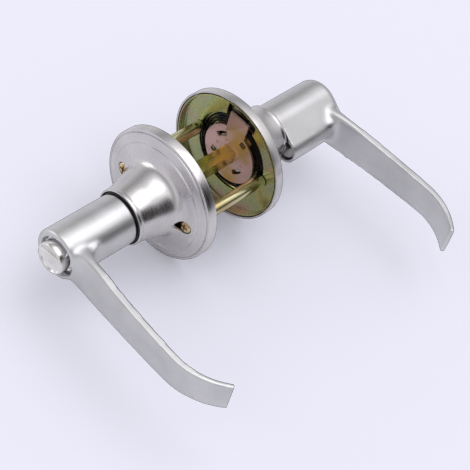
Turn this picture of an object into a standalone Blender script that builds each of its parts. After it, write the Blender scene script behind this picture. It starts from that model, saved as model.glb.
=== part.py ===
"""Privacy door lever set: two levers on bell-shaped roses, joined through the door.

Frame: +Y runs along the spindle from the inside half to the outside half, +X points
to the lever tips, and +Z is up when the set is on a door. The origin is on the
spindle's axis, midway between the two faces of the door. Lengths are in metres.
"depth" below means the distance from the door's middle plane, on either side.
"""

from math import acos, atan2, cos, hypot, pi, sin, sqrt

import bmesh
import bpy

MM = 0.001

# Door and clearances
DOOR_HALF = 19.3 * MM
FIT = 0.3 * MM
RUN = 0.35 * MM

# Rose: a pressed bell with a flat rim
ROSE_RADIUS = 33.0 * MM
RIM_HEIGHT = 4.6 * MM
ROSE_WALL = 0.85 * MM
COLLAR_RADIUS = 13.6 * MM
COLLAR_DEPTH = 28.8 * MM
SCREW_HOLE_RADIUS = 3.5 * MM

# Plate: a shallow cup inside the rose, with a raised housing for the spring
SHEET = 0.6 * MM
PLATE_FLOOR = 4.1 * MM
PLATE_RADIUS = ROSE_RADIUS - ROSE_WALL - 0.45 * MM
HOUSING_FLOOR = 5.7 * MM
INSIDE_HOUSING_RADIUS = 16.6 * MM
OUTSIDE_HOUSING_RADIUS = 20.9 * MM

# Rotor: the disc that turns with the lever, with a lug that pushes the spring
ROTOR_RADIUS = 15.6 * MM
ROTOR_BACK = 3.8 * MM
ROTOR_SHEET = 1.1 * MM
LUG_REACH = 23.8 * MM
LUG_HALF_WIDTH = 5.8 * MM

# Sleeve, bush and clip
SLEEVE_RADIUS = 10.0 * MM
SLEEVE_WALL = 1.4 * MM
SLEEVE_LENGTH = 42.6 * MM
BUSH_LENGTH = 9.0 * MM
CLIP_SHEET = 1.0 * MM
CLIP_RADIUS = 12.3 * MM

# Return spring: a flat spiral of round wire
WIRE_RADIUS = 0.55 * MM
COIL_PITCH = 1.5 * MM
COIL_TURNS = 2.6

# Spindle, posts and screws
SPINDLE_WIDTH = 7.0 * MM
SPINDLE_HALF_LENGTH = 29.5 * MM
ROD_RADIUS = 1.5 * MM
POST_SPACING = 41.6 * MM
POST_RADIUS = 3.0 * MM
SCREW_RADIUS = 1.9 * MM
SCREW_HEAD_RADIUS = 3.15 * MM
SCREW_HEAD_HEIGHT = 2.3 * MM

# Levers
HUB_RADIUS = 12.2 * MM
HUB_END = 88.5 * MM
HUB_START = DOOR_HALF + COLLAR_DEPTH + 0.6 * MM
NOSE_OFFSET = 12.5 * MM
NOSE_DROP = -1.5 * MM
NOSE_RADIUS = 7.0 * MM
BLADE_FACE = 87.0 * MM
BLADE_THICKNESS = 4.4 * MM
BLADE_TIP_THICKNESS = 2.6 * MM
BLADE_STRAIGHT = 72.0 * MM
BLADE_BEND_RADIUS = 36.4 * MM
BLADE_BEND_ANGLE = 48.5 * pi / 180
BLADE_ROOT_HEIGHT = 18.0 * MM
BLADE_TIP_HEIGHT = 15.6 * MM
BLADE_EDGE = 1.0 * MM
GRUB_DEPTH = HUB_START + 9.0 * MM

# Turn button
BUTTON_RADIUS = 8.0 * MM
BUTTON_FRONT = 91.8 * MM
BUTTON_SEAT = 80.5 * MM
STEM_RADIUS = 3.0 * MM

INSIDE = -1
OUTSIDE = 1
ROUND_STEPS = 40
SMALL_STEPS = 28

NICKEL = ((0.72, 0.71, 0.70), 0.32, 1.0)
POLISHED = ((0.80, 0.80, 0.79), 0.14, 1.0)
YELLOW_ZINC = ((0.55, 0.50, 0.28), 0.30, 1.0)
PINK_ZINC = ((0.70, 0.52, 0.42), 0.34, 1.0)
GOLD_ZINC = ((0.72, 0.55, 0.22), 0.30, 1.0)
BLACK_STEEL = ((0.02, 0.02, 0.02), 0.25, 0.6)
BLACK_NYLON = ((0.015, 0.015, 0.015), 0.55, 0.0)
STEEL = ((0.55, 0.55, 0.54), 0.35, 1.0)


def clear_scene():
    for thing in list(bpy.data.objects):
        bpy.data.objects.remove(thing, do_unlink=True)


def make_collection(name):
    collection = bpy.data.collections.new(name)
    bpy.context.scene.collection.children.link(collection)
    return collection


def make_material(name, look):
    color, roughness, metallic = look
    material = bpy.data.materials.new(name)
    material.use_nodes = True
    shader = material.node_tree.nodes["Principled BSDF"]
    shader.inputs["Base Color"].default_value = (*color, 1.0)
    shader.inputs["Roughness"].default_value = roughness
    shader.inputs["Metallic"].default_value = metallic
    material.diffuse_color = (*color, 1.0)
    return material


def link_mesh(name, mesh):
    """Put a mesh on a new object in the scene's parts collection."""
    piece = bpy.data.objects.new(name, mesh)
    PARTS.objects.link(piece)
    return piece


def to_mesh(piece):
    """Swap a curve, or a mesh with modifiers, for the plain closed mesh it makes."""
    graph = bpy.context.evaluated_depsgraph_get()
    mesh = bpy.data.meshes.new_from_object(piece.evaluated_get(graph))
    mesh.transform(piece.matrix_world)
    shape = bmesh.new()
    shape.from_mesh(mesh)
    bmesh.ops.remove_doubles(shape, verts=shape.verts, dist=0.001 * MM)
    bmesh.ops.dissolve_limit(
        shape, angle_limit=0.001, verts=shape.verts, edges=shape.edges
    )
    bmesh.ops.recalc_face_normals(shape, faces=shape.faces)
    shape.to_mesh(mesh)
    shape.free()
    name = piece.name
    bpy.data.objects.remove(piece, do_unlink=True)
    mesh.materials.clear()
    return link_mesh(name, mesh)


def turned(name, profile, side, steps=ROUND_STEPS, closed=True):
    """Turn a profile of (radius, depth) points about the spindle's axis.

    An open profile starts and ends on the axis and makes a solid of revolution.
    """
    mesh = bpy.data.meshes.new(name)
    points = [(radius, side * depth, 0.0) for radius, depth in profile]
    edges = [(i, i + 1) for i in range(len(points) - 1)]
    if closed:
        edges.append((len(points) - 1, 0))
    mesh.from_pydata(points, edges, [])
    piece = link_mesh(name, mesh)
    screw = piece.modifiers.new("turn", "SCREW")
    screw.axis = "Y"
    screw.steps = steps
    screw.render_steps = steps
    screw.use_merge_vertices = True
    screw.merge_threshold = 0.001 * MM
    bpy.context.view_layer.update()
    return to_mesh(piece)


def flat(name, outlines, low, high, plane="XZ"):
    """Extrude closed outlines, the first with the others as its holes.

    In the XZ plane the piece runs along Y from low to high, and in the XY plane
    along Z.
    """
    curve = bpy.data.curves.new(name, "CURVE")
    curve.dimensions = "2D"
    curve.fill_mode = "BOTH"
    curve.extrude = abs(high - low) / 2
    for outline in outlines:
        spline = curve.splines.new("POLY")
        spline.points.add(len(outline) - 1)
        for point, (a, b) in zip(spline.points, outline):
            point.co = (a, b, 0.0, 1.0)
        spline.use_cyclic_u = True
    piece = bpy.data.objects.new(name, curve)
    PARTS.objects.link(piece)
    middle = (low + high) / 2
    if plane == "XZ":
        piece.rotation_euler = (pi / 2, 0.0, 0.0)
        piece.location = (0.0, middle, 0.0)
    else:
        piece.location = (0.0, 0.0, middle)
    bpy.context.view_layer.update()
    return to_mesh(piece)


def wire(name, points, radius):
    """Sweep a round wire along a list of points."""
    curve = bpy.data.curves.new(name, "CURVE")
    curve.dimensions = "3D"
    curve.bevel_depth = radius
    curve.bevel_resolution = 2
    curve.use_fill_caps = True
    spline = curve.splines.new("POLY")
    spline.points.add(len(points) - 1)
    for point, place in zip(spline.points, points):
        point.co = (*place, 1.0)
    piece = bpy.data.objects.new(name, curve)
    PARTS.objects.link(piece)
    bpy.context.view_layer.update()
    return to_mesh(piece)


def box(name, low, high):
    """A box between two corners."""
    mesh = bpy.data.meshes.new(name)
    shape = bmesh.new()
    bmesh.ops.create_cube(shape, size=1.0)
    for vert in shape.verts:
        for axis in range(3):
            middle = (low[axis] + high[axis]) / 2
            vert.co[axis] = middle + vert.co[axis] * abs(high[axis] - low[axis])
    shape.to_mesh(mesh)
    shape.free()
    return link_mesh(name, mesh)


def rod(name, start, end, radius, steps=SMALL_STEPS):
    """A solid cylinder between two points on a line along Y or Z."""
    mesh = bpy.data.meshes.new(name)
    along = 1 if start[2] == end[2] else 2
    length = end[along] - start[along]
    shape = bmesh.new()
    bmesh.ops.create_cone(
        shape,
        cap_ends=True,
        segments=steps,
        radius1=radius,
        radius2=radius,
        depth=abs(length),
    )
    for vert in shape.verts:
        x, y, z = vert.co
        if along == 1:
            vert.co = (x + start[0], z + (start[1] + end[1]) / 2, -y + start[2])
        else:
            vert.co = (x + start[0], y + start[1], z + (start[2] + end[2]) / 2)
    bmesh.ops.recalc_face_normals(shape, faces=shape.faces)
    shape.to_mesh(mesh)
    shape.free()
    return link_mesh(name, mesh)


def boolean(target, tool, operation):
    """Join a tool to a piece, or cut it out of the piece."""
    PARTS.objects.unlink(tool)
    CUTTERS.objects.link(tool)
    tool.hide_render = True
    tool.display_type = "WIRE"
    change = target.modifiers.new(tool.name, "BOOLEAN")
    change.operation = operation
    change.solver = "EXACT"
    change.object = tool


def cut(target, tool):
    boolean(target, tool, "DIFFERENCE")


def join(target, tool):
    boolean(target, tool, "UNION")


def bevel_sharp(piece, width, segments, low_y=None):
    """Round the sharp edges of a piece, or only those in the plane y = low_y."""
    shape = bmesh.new()
    shape.from_mesh(piece.data)
    edges = []
    for edge in shape.edges:
        if len(edge.link_faces) != 2 or edge.calc_face_angle() < 0.9:
            continue
        ends = [vert.co.y for vert in edge.verts]
        if low_y is not None and max(abs(y - low_y) for y in ends) > 0.01 * MM:
            continue
        edges.append(edge)
    bmesh.ops.bevel(
        shape,
        geom=edges,
        offset=width,
        segments=segments,
        profile=0.5,
        affect="EDGES",
    )
    bmesh.ops.recalc_face_normals(shape, faces=shape.faces)
    shape.to_mesh(piece.data)
    shape.free()


def finish(piece, look, parent):
    """Give a piece its material and shading, and hang it on its body's empty."""
    piece.data.materials.append(make_material(piece.name, look))
    piece.data.shade_smooth()
    piece.data.set_sharp_from_angle(angle=0.6)
    piece.parent = parent
    return piece


def arc(center, radius, start, end, steps):
    """Points along an arc, angles in radians."""
    points = []
    for i in range(steps + 1):
        angle = start + (end - start) * i / steps
        points.append((center[0] + radius * cos(angle), center[1] + radius * sin(angle)))
    return points


def slot(center_angle, half_angle, inner, outer):
    """A curved slot about the axis, as a closed outline."""
    middle = (0.0, 0.0)
    first = arc(middle, outer, center_angle - half_angle, center_angle + half_angle, 6)
    back = arc(middle, inner, center_angle + half_angle, center_angle - half_angle, 6)
    return first + back


def square(x, z, half):
    return [(x - half, z - half), (x + half, z - half), (x + half, z + half), (x - half, z + half)]


def bell_outside():
    """The rose's outer line as (radius, height above the door) pairs, rim to collar."""
    span = ROSE_RADIUS - COLLAR_RADIUS
    rise = COLLAR_DEPTH - RIM_HEIGHT
    # Each pair: how far in from the rim towards the collar, and how far up.
    shares = [
        (0.062, 0.041),
        (0.314, 0.092),
        (0.593, 0.130),
        (0.763, 0.192),
        (0.830, 0.310),
        (0.876, 0.471),
        (0.936, 0.636),
        (0.974, 0.802),
        (1.0, 1.0),
    ]
    line = [(ROSE_RADIUS, 0.0), (ROSE_RADIUS, RIM_HEIGHT)]
    for inward, up in shares:
        line.append((ROSE_RADIUS - inward * span, RIM_HEIGHT + up * rise))
    return line


def offset_inside(line, distance):
    """The same line moved inwards by a wall's thickness."""
    moved = []
    for i, (radius, height) in enumerate(line):
        before = line[max(i - 1, 0)]
        after = line[min(i + 1, len(line) - 1)]
        run = after[0] - before[0]
        rise = after[1] - before[1]
        length = hypot(run, rise)
        moved.append((radius - distance * rise / length, height + distance * run / length))
    moved[0] = (line[0][0] - distance, 0.0)
    moved[-1] = (line[-1][0] - distance, line[-1][1])
    return moved


def make_rose(name, side, with_holes, parent):
    outer = bell_outside()
    inner = offset_inside(outer, ROSE_WALL)
    profile = outer + inner[::-1]
    rose = turned(name, [(r, DOOR_HALF + h) for r, h in profile], side, 44)
    if with_holes:
        for x in (-POST_SPACING / 2, POST_SPACING / 2):
            start = (x, side * (DOOR_HALF + 2.0 * MM), 0.0)
            end = (x, side * (DOOR_HALF + 20.0 * MM), 0.0)
            cut(rose, rod(f"{name}_hole", start, end, SCREW_HOLE_RADIUS))
    return finish(rose, NICKEL, parent)


def make_plate(name, side, housing, hole_radius, parent):
    floor = PLATE_FLOOR
    back = floor + SHEET
    top = HOUSING_FLOOR + SHEET
    edge = PLATE_RADIUS
    mouth = SLEEVE_RADIUS + RUN
    corner = 0.7 * MM
    profile = [
        (edge, FIT),
        (edge, back - corner),
        (edge - corner, back),
        (housing + SHEET, back),
        (housing + SHEET, top),
        (mouth, top),
        (mouth, HOUSING_FLOOR),
        (housing, HOUSING_FLOOR),
        (housing, floor),
        (edge - SHEET - 0.4 * MM, floor),
        (edge - SHEET, floor - 0.4 * MM),
        (edge - SHEET, FIT),
    ]
    plate = turned(name, [(r, DOOR_HALF + h) for r, h in profile], side)
    # Window above the lug, where the spring's leg hooks in
    low = (-9.0 * MM, side * (DOOR_HALF + 3.0 * MM), housing - 1.5 * MM)
    high = (9.0 * MM, side * (DOOR_HALF + 9.0 * MM), 29.5 * MM)
    cut(plate, box(f"{name}_window", low, high))
    if hole_radius:
        for x in (-POST_SPACING / 2, POST_SPACING / 2):
            start = (x, side * (DOOR_HALF + 2.0 * MM), 0.0)
            end = (x, side * (DOOR_HALF + 12.0 * MM), 0.0)
            cut(plate, rod(f"{name}_hole", start, end, hole_radius))
    return finish(plate, YELLOW_ZINC, parent)


def make_rotor(name, side, parent):
    reach = sqrt(ROTOR_RADIUS**2 - LUG_HALF_WIDTH**2)
    first = acos(LUG_HALF_WIDTH / ROTOR_RADIUS)
    outline = [(LUG_HALF_WIDTH, LUG_REACH)]
    outline.append((-LUG_HALF_WIDTH, LUG_REACH))
    outline += arc((0.0, 0.0), ROTOR_RADIUS, pi - first, 2 * pi + first, 40)
    assert abs(outline[-1][1] - reach) < 0.01 * MM
    holes = [
        square(0.0, 0.0, SPINDLE_WIDTH / 2 + 0.1 * MM),
        slot(131 * pi / 180, 20 * pi / 180, 9.2 * MM, 12.2 * MM),
        slot(-41 * pi / 180, 20 * pi / 180, 8.0 * MM, 11.0 * MM),
        square(6.0 * MM, 11.0 * MM, 1.7 * MM),
        square(-9.0 * MM, -4.5 * MM, 1.7 * MM),
    ]
    near = side * (DOOR_HALF + ROTOR_BACK - ROTOR_SHEET)
    far = side * (DOOR_HALF + ROTOR_BACK)
    rotor = flat(name, [outline] + holes, min(near, far), max(near, far))
    return finish(rotor, PINK_ZINC, parent)


def make_sleeve(name, side, parent):
    start = DOOR_HALF + ROTOR_BACK + FIT
    end = start + SLEEVE_LENGTH
    inner = SLEEVE_RADIUS - SLEEVE_WALL
    groove = DOOR_HALF + HOUSING_FLOOR + SHEET + 0.1 * MM
    profile = [
        (inner, start),
        (SLEEVE_RADIUS, start),
        (SLEEVE_RADIUS, groove),
        (SLEEVE_RADIUS - 0.7 * MM, groove),
        (SLEEVE_RADIUS - 0.7 * MM, groove + CLIP_SHEET + 0.4 * MM),
        (SLEEVE_RADIUS, groove + CLIP_SHEET + 0.4 * MM),
        (SLEEVE_RADIUS, end),
        (inner, end),
    ]
    return finish(turned(name, profile, side, 32), STEEL, parent)


def make_clip(name, side, parent):
    """An open retaining ring in the sleeve's groove, behind the plate."""
    inner = SLEEVE_RADIUS - 0.4 * MM
    half_gap = 0.45
    outline = arc((0.0, 0.0), CLIP_RADIUS, -pi / 2 + half_gap, 3 * pi / 2 - half_gap, 26)
    outline += arc((0.0, 0.0), inner, 3 * pi / 2 - half_gap, -pi / 2 + half_gap, 26)
    low = DOOR_HALF + HOUSING_FLOOR + SHEET + FIT
    ends = sorted((side * low, side * (low + CLIP_SHEET)))
    return finish(flat(name, [outline], ends[0], ends[1]), STEEL, parent)


def make_bush(name, side, parent):
    """The plastic bearing between the collar of the rose and the sleeve."""
    outer = COLLAR_RADIUS - ROSE_WALL - 0.15 * MM
    inner = SLEEVE_RADIUS + RUN
    end = DOOR_HALF + COLLAR_DEPTH + 0.1 * MM
    start = end - BUSH_LENGTH
    profile = [
        (inner, start),
        (outer + 0.25 * MM, start),
        (outer + 0.25 * MM, start + 1.2 * MM),
        (outer, start + 1.8 * MM),
        (outer, end),
        (inner, end),
    ]
    return finish(turned(name, profile, side, 40), BLACK_NYLON, parent)


def make_spring(name, side, outer_radius, parent):
    """A flat spiral return spring, its outer leg turned up into the plate's window."""
    depth = side * (DOOR_HALF + (ROTOR_BACK + HOUSING_FLOOR) / 2 + 0.15 * MM)
    start = pi / 2 - 0.12
    steps = int(COIL_TURNS * 15)
    points = []
    for i in range(steps + 1):
        turn = COIL_TURNS * i / steps
        radius = outer_radius - COIL_PITCH * turn
        angle = start - 2 * pi * turn
        points.append((radius * cos(angle), depth, radius * sin(angle)))
    leg = (points[0][0] + 0.6 * MM, depth, outer_radius + 5.0 * MM)
    return finish(wire(name, [leg] + points, WIRE_RADIUS), BLACK_STEEL, parent)


def make_post(name, x, parent):
    """A threaded post on the outside plate, which the mounting screw enters."""
    outside_end = DOOR_HALF + PLATE_FLOOR - FIT
    inside_end = -(DOOR_HALF + PLATE_FLOOR - FIT)
    post = rod(name, (x, inside_end, 0.0), (x, outside_end, 0.0), POST_RADIUS)
    bore_end = outside_end - 4.0 * MM
    bore = rod(
        f"{name}_bore",
        (x, inside_end - 1.0 * MM, 0.0),
        (x, bore_end, 0.0),
        SCREW_RADIUS + FIT,
        20,
    )
    cut(post, bore)
    return finish(post, YELLOW_ZINC, parent)


def make_screw(name, x, parent):
    """A mounting screw: pan head with a cross recess, on the back of the inside plate."""
    seat = -(DOOR_HALF + PLATE_FLOOR + SHEET + FIT)
    head = seat - SCREW_HEAD_HEIGHT
    shank_end = -DOOR_HALF + 16.0 * MM
    profile = [
        (0.0, -head),
        (SCREW_HEAD_RADIUS * 0.72, -head),
        (SCREW_HEAD_RADIUS * 0.94, -head - 0.6 * MM),
        (SCREW_HEAD_RADIUS, -head - 1.3 * MM),
        (SCREW_HEAD_RADIUS, -seat),
        (SCREW_RADIUS, -seat),
        (SCREW_RADIUS, -shank_end + 1.0 * MM),
        (SCREW_RADIUS * 0.6, -shank_end),
        (0.0, -shank_end),
    ]
    screw = turned(name, profile, INSIDE, 24, closed=False)
    for vert in screw.data.vertices:
        vert.co.x += x
    arm = 2.0 * MM
    thin = 0.45 * MM
    deep = head + 1.2 * MM
    for index, (half_x, half_z) in enumerate(((arm, thin), (thin, arm))):
        low = (x - half_x, head - 1.0 * MM, -half_z)
        high = (x + half_x, deep + index * 0.05 * MM, half_z)
        cut(screw, box(f"{name}_recess", low, high))
    return finish(screw, YELLOW_ZINC, parent)


def blade_outline(side, root, fillet):
    """The blade seen from above: straight, then curled towards the door at the tip."""
    inner_face = BLADE_FACE - BLADE_THICKNESS
    center = (BLADE_STRAIGHT, BLADE_FACE - BLADE_BEND_RADIUS)
    first = pi / 2
    last = pi / 2 - BLADE_BEND_ANGLE
    outer = [(3.0 * MM, BLADE_FACE - 1.4 * MM), (14.0 * MM, BLADE_FACE - 1.3 * MM)]
    outer.append((40.0 * MM, BLADE_FACE - 0.4 * MM))
    outer += arc(center, BLADE_BEND_RADIUS, first, last, 10)
    inner = []
    for step in range(9):
        share = step / 8
        thickness = BLADE_TIP_THICKNESS + (BLADE_THICKNESS - BLADE_TIP_THICKNESS) * share
        angle = last + (first - last) * share
        reach = BLADE_BEND_RADIUS - thickness
        inner.append((center[0] + reach * cos(angle), center[1] + reach * sin(angle)))
    inner.append((40.0 * MM, inner_face - 0.4 * MM))
    corner = (root + fillet, inner_face - 1.3 * MM - fillet)
    inner += arc(corner, fillet, pi / 2, pi, 6)
    inner.append((3.0 * MM, corner[1]))
    return [(x, side * depth) for x, depth in outer + inner]


def make_blade(name, side, root, fillet, drop):
    half = BLADE_ROOT_HEIGHT / 2
    blade = flat(name, [blade_outline(side, root, fillet)], -half, half, "XY")
    tip = BLADE_STRAIGHT + BLADE_BEND_RADIUS * sin(BLADE_BEND_ANGLE)
    for vert in blade.data.vertices:
        share = max(0.0, vert.co.x) / tip
        height = BLADE_ROOT_HEIGHT + (BLADE_TIP_HEIGHT - BLADE_ROOT_HEIGHT) * share
        vert.co.z = vert.co.z * height / BLADE_ROOT_HEIGHT + drop
    bevel_sharp(blade, BLADE_EDGE, 2)
    return blade


def make_inside_lever(parent):
    hub_line = [
        (0.0, HUB_START),
        (HUB_RADIUS - 0.5 * MM, HUB_START),
        (HUB_RADIUS, HUB_START + 0.5 * MM),
        (HUB_RADIUS, HUB_END - 1.4 * MM),
        (HUB_RADIUS - 0.4 * MM, HUB_END - 0.4 * MM),
        (HUB_RADIUS - 1.4 * MM, HUB_END),
        (0.0, HUB_END),
    ]
    lever = turned("inside_lever", hub_line, INSIDE, ROUND_STEPS, closed=False)
    join(lever, make_blade("inside_blade", INSIDE, HUB_RADIUS - 0.8 * MM, 8.0 * MM, 0.0))
    socket = SLEEVE_RADIUS + FIT
    socket_end = HUB_START + 20.3 * MM
    bore_line = [
        (0.0, HUB_START - 1.0 * MM),
        (socket, HUB_START - 1.0 * MM),
        (socket, socket_end),
        (STEM_RADIUS + RUN, socket_end),
        (STEM_RADIUS + RUN, BUTTON_SEAT),
        (BUTTON_RADIUS + 0.8 * MM, BUTTON_SEAT),
        (BUTTON_RADIUS + 0.8 * MM, HUB_END + 2.0 * MM),
        (0.0, HUB_END + 2.0 * MM),
    ]
    cut(lever, turned("inside_bore", bore_line, INSIDE, 40, closed=False))
    y = -GRUB_DEPTH
    cut(lever, rod("grub_hole", (0.0, y, -20.0 * MM), (0.0, y, -8.0 * MM), 2.1 * MM, 16))
    return finish(lever, NICKEL, parent)


def hull_outline(grow):
    """Section of the outside hub: a round about the axis drawn out to a nose."""
    big = HUB_RADIUS + grow
    small = NOSE_RADIUS + grow
    reach = hypot(NOSE_OFFSET, NOSE_DROP)
    tilt = atan2(NOSE_DROP, NOSE_OFFSET)
    spread = acos((big - small) / reach)
    points = arc((0.0, 0.0), big, tilt + spread, tilt + 2 * pi - spread, 28)
    points += arc((NOSE_OFFSET, NOSE_DROP), small, tilt - spread, tilt + spread, 14)
    return points


def make_outside_lever(parent):
    end = BLADE_FACE + 0.6 * MM
    lever = flat("outside_lever", [hull_outline(0.0)], HUB_START, end)
    bevel_sharp(lever, 3.2 * MM, 4, low_y=end)
    join(lever, make_blade("outside_blade", OUTSIDE, 17.6 * MM, 3.0 * MM, -1.5 * MM))
    socket = SLEEVE_RADIUS + FIT
    socket_end = HUB_START + 20.3 * MM
    bore_line = [
        (0.0, HUB_START - 1.0 * MM),
        (socket, HUB_START - 1.0 * MM),
        (socket, socket_end),
        (1.3 * MM, socket_end),
        (1.3 * MM, HUB_END + 2.0 * MM),
        (0.0, HUB_END + 2.0 * MM),
    ]
    cut(lever, turned("outside_bore", bore_line, OUTSIDE, 40, closed=False))
    pocket = arc((NOSE_OFFSET, NOSE_DROP), NOSE_RADIUS - 1.3 * MM, -pi / 2, pi / 2, 10)
    pocket += [(7.0 * MM, NOSE_DROP + NOSE_RADIUS - 1.3 * MM)]
    pocket += [(7.0 * MM, NOSE_DROP - NOSE_RADIUS + 1.3 * MM)]
    low = HUB_START - 1.0 * MM
    cut(lever, flat("nose_pocket", [pocket], low, HUB_START + 13.0 * MM))
    return finish(lever, NICKEL, parent)


def make_catch(parent):
    """The spring catch in the outside hub's pocket, which holds the lever on its sleeve."""
    low = (SLEEVE_RADIUS + 2.0 * MM, HUB_START + 1.0 * MM, NOSE_DROP - 4.2 * MM)
    high = (SLEEVE_RADIUS + 6.6 * MM, HUB_START + 12.0 * MM, NOSE_DROP + 2.6 * MM)
    catch = box("outside_lever_catch", low, high)
    bevel_sharp(catch, 0.7 * MM, 2)
    return finish(catch, STEEL, parent)


def make_button(parent):
    seat = BUTTON_SEAT + 1.2 * MM
    stem_end = DOOR_HALF + ROTOR_BACK + FIT + SLEEVE_LENGTH + 0.5 * MM
    profile = [
        (0.0, stem_end),
        (STEM_RADIUS, stem_end),
        (STEM_RADIUS, seat),
        (BUTTON_RADIUS, seat),
        (BUTTON_RADIUS, BUTTON_FRONT - 0.7 * MM),
        (BUTTON_RADIUS - 0.3 * MM, BUTTON_FRONT - 0.15 * MM),
        (BUTTON_RADIUS - 0.8 * MM, BUTTON_FRONT),
        (BUTTON_RADIUS - 1.1 * MM, BUTTON_FRONT - 0.2 * MM),
        (BUTTON_RADIUS - 1.4 * MM, BUTTON_FRONT - 0.9 * MM),
        (0.0, BUTTON_FRONT - 2.0 * MM),
    ]
    button = turned("turn_button", profile, INSIDE, 40, closed=False)
    half_width = 2.3 * MM
    long = BUTTON_RADIUS - 0.75 * MM
    low = (-long, -(BUTTON_FRONT + 0.1 * MM), -half_width)
    high = (long, -(BUTTON_FRONT - 3.5 * MM), half_width)
    bar = box("button_bar", low, high)
    bevel_sharp(bar, 0.7 * MM, 2)
    join(button, bar)
    start = (0.0, -(stem_end - 1.0 * MM), 0.0)
    end = (0.0, -(stem_end + 8.0 * MM), 0.0)
    cut(button, rod("button_socket", start, end, ROD_RADIUS + FIT, 20))
    return finish(button, POLISHED, parent)


def make_washer(parent):
    low = BUTTON_SEAT + 0.3 * MM
    inner = STEM_RADIUS + RUN
    outer = BUTTON_RADIUS - 0.6 * MM
    high = low + 0.6 * MM
    profile = [(inner, low), (outer, low), (outer, high), (inner, high)]
    return finish(turned("button_washer", profile, INSIDE, 32), STEEL, parent)


def make_button_clip(parent):
    """The push-on ring that keeps the button's stem in the hub."""
    high = HUB_START + 20.3 * MM - FIT
    low = high - 0.8 * MM
    inner = STEM_RADIUS + 0.1 * MM
    profile = [(inner, low), (5.6 * MM, low), (5.6 * MM, high), (inner, high)]
    return finish(turned("button_clip", profile, INSIDE, 28), STEEL, parent)


def make_spindle(parent):
    half = SPINDLE_WIDTH / 2
    outline = square(0.0, 0.0, half)
    bore = arc((0.0, 0.0), ROD_RADIUS + 0.5 * MM, 0.0, 2 * pi * 19 / 20, 19)
    spindle = flat("spindle", [outline, bore], -SPINDLE_HALF_LENGTH, SPINDLE_HALF_LENGTH)
    return finish(spindle, GOLD_ZINC, parent)


def make_privacy_rod(parent):
    stem_end = DOOR_HALF + ROTOR_BACK + FIT + SLEEVE_LENGTH + 0.5 * MM
    start = (0.0, -(stem_end + 7.5 * MM), 0.0)
    end = (0.0, SPINDLE_HALF_LENGTH + 1.5 * MM, 0.0)
    return finish(rod("privacy_rod", start, end, ROD_RADIUS, 20), STEEL, parent)


def make_grub(parent):
    y = -GRUB_DEPTH
    start = (0.0, y, -HUB_RADIUS + 0.15 * MM)
    end = (0.0, y, -SLEEVE_RADIUS - 0.3 * MM)
    return finish(rod("inside_grub_screw", start, end, 1.75 * MM, 16), STEEL, parent)


def make_empty(name):
    empty = bpy.data.objects.new(name, None)
    empty.empty_display_size = 20 * MM
    PARTS.objects.link(empty)
    return empty


clear_scene()
PARTS = make_collection("privacy_lever_set")
CUTTERS = make_collection("cutters")

fixed = make_empty("fixed_to_door")
inside_axis = make_empty("inside_lever_axis")
outside_axis = make_empty("outside_lever_axis")
spindle_axis = make_empty("spindle_axis")
button_axis = make_empty("button_axis")
button_axis.parent = inside_axis

# Fixed to the door
make_rose("inside_rose", INSIDE, True, fixed)
make_rose("outside_rose", OUTSIDE, False, fixed)
make_plate("inside_plate", INSIDE, INSIDE_HOUSING_RADIUS, SCREW_RADIUS + FIT, fixed)
make_plate("outside_plate", OUTSIDE, OUTSIDE_HOUSING_RADIUS, 0.0, fixed)
make_bush("inside_bush", INSIDE, fixed)
make_bush("outside_bush", OUTSIDE, fixed)
make_spring("inside_return_spring", INSIDE, INSIDE_HOUSING_RADIUS - 0.9 * MM, fixed)
make_spring("outside_return_spring", OUTSIDE, OUTSIDE_HOUSING_RADIUS - 0.9 * MM, fixed)
make_post("post_left", -POST_SPACING / 2, fixed)
make_post("post_right", POST_SPACING / 2, fixed)
make_screw("mounting_screw_left", -POST_SPACING / 2, fixed)
make_screw("mounting_screw_right", POST_SPACING / 2, fixed)

# Turning with the inside lever
make_inside_lever(inside_axis)
make_grub(inside_axis)
make_sleeve("inside_sleeve", INSIDE, inside_axis)
make_clip("inside_circlip", INSIDE, inside_axis)
make_rotor("inside_rotor", INSIDE, inside_axis)

# Turning with the outside lever
make_outside_lever(outside_axis)
make_catch(outside_axis)
make_sleeve("outside_sleeve", OUTSIDE, outside_axis)
make_clip("outside_circlip", OUTSIDE, outside_axis)
make_rotor("outside_rotor", OUTSIDE, outside_axis)

# Turning with both levers
make_spindle(spindle_axis)

# Turning inside the inside lever
make_button(button_axis)
make_washer(button_axis)
make_button_clip(button_axis)
make_privacy_rod(button_axis)
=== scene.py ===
from math import acos, atan2, cos, hypot, pi, radians, sin

import bpy
from mathutils import Matrix, Vector


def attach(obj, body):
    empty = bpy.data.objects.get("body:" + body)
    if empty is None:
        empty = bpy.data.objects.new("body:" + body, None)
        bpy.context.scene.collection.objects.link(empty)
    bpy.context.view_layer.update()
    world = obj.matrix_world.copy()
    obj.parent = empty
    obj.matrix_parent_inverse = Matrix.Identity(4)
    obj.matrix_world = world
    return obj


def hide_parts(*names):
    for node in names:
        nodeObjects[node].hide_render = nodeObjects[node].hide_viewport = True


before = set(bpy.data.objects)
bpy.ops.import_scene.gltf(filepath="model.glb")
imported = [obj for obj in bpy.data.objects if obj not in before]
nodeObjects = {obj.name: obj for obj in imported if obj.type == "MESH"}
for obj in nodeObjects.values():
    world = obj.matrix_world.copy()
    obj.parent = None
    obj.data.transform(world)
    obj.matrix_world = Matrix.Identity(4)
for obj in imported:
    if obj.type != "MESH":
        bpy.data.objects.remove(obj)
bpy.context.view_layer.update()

mm = 0.001
inside = -1
outside = 1

setSizes = {
    "doorHalf": 19.3 * mm,
    "collarHeight": 28.8 * mm,
    "hubStart": 48.7 * mm,
    "postOffset": 20.8 * mm,
}


def clearSelection():
    if bpy.context.object and bpy.context.object.mode != "OBJECT":
        bpy.ops.object.mode_set(mode="OBJECT")
    bpy.ops.object.select_all(action="DESELECT")


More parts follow.
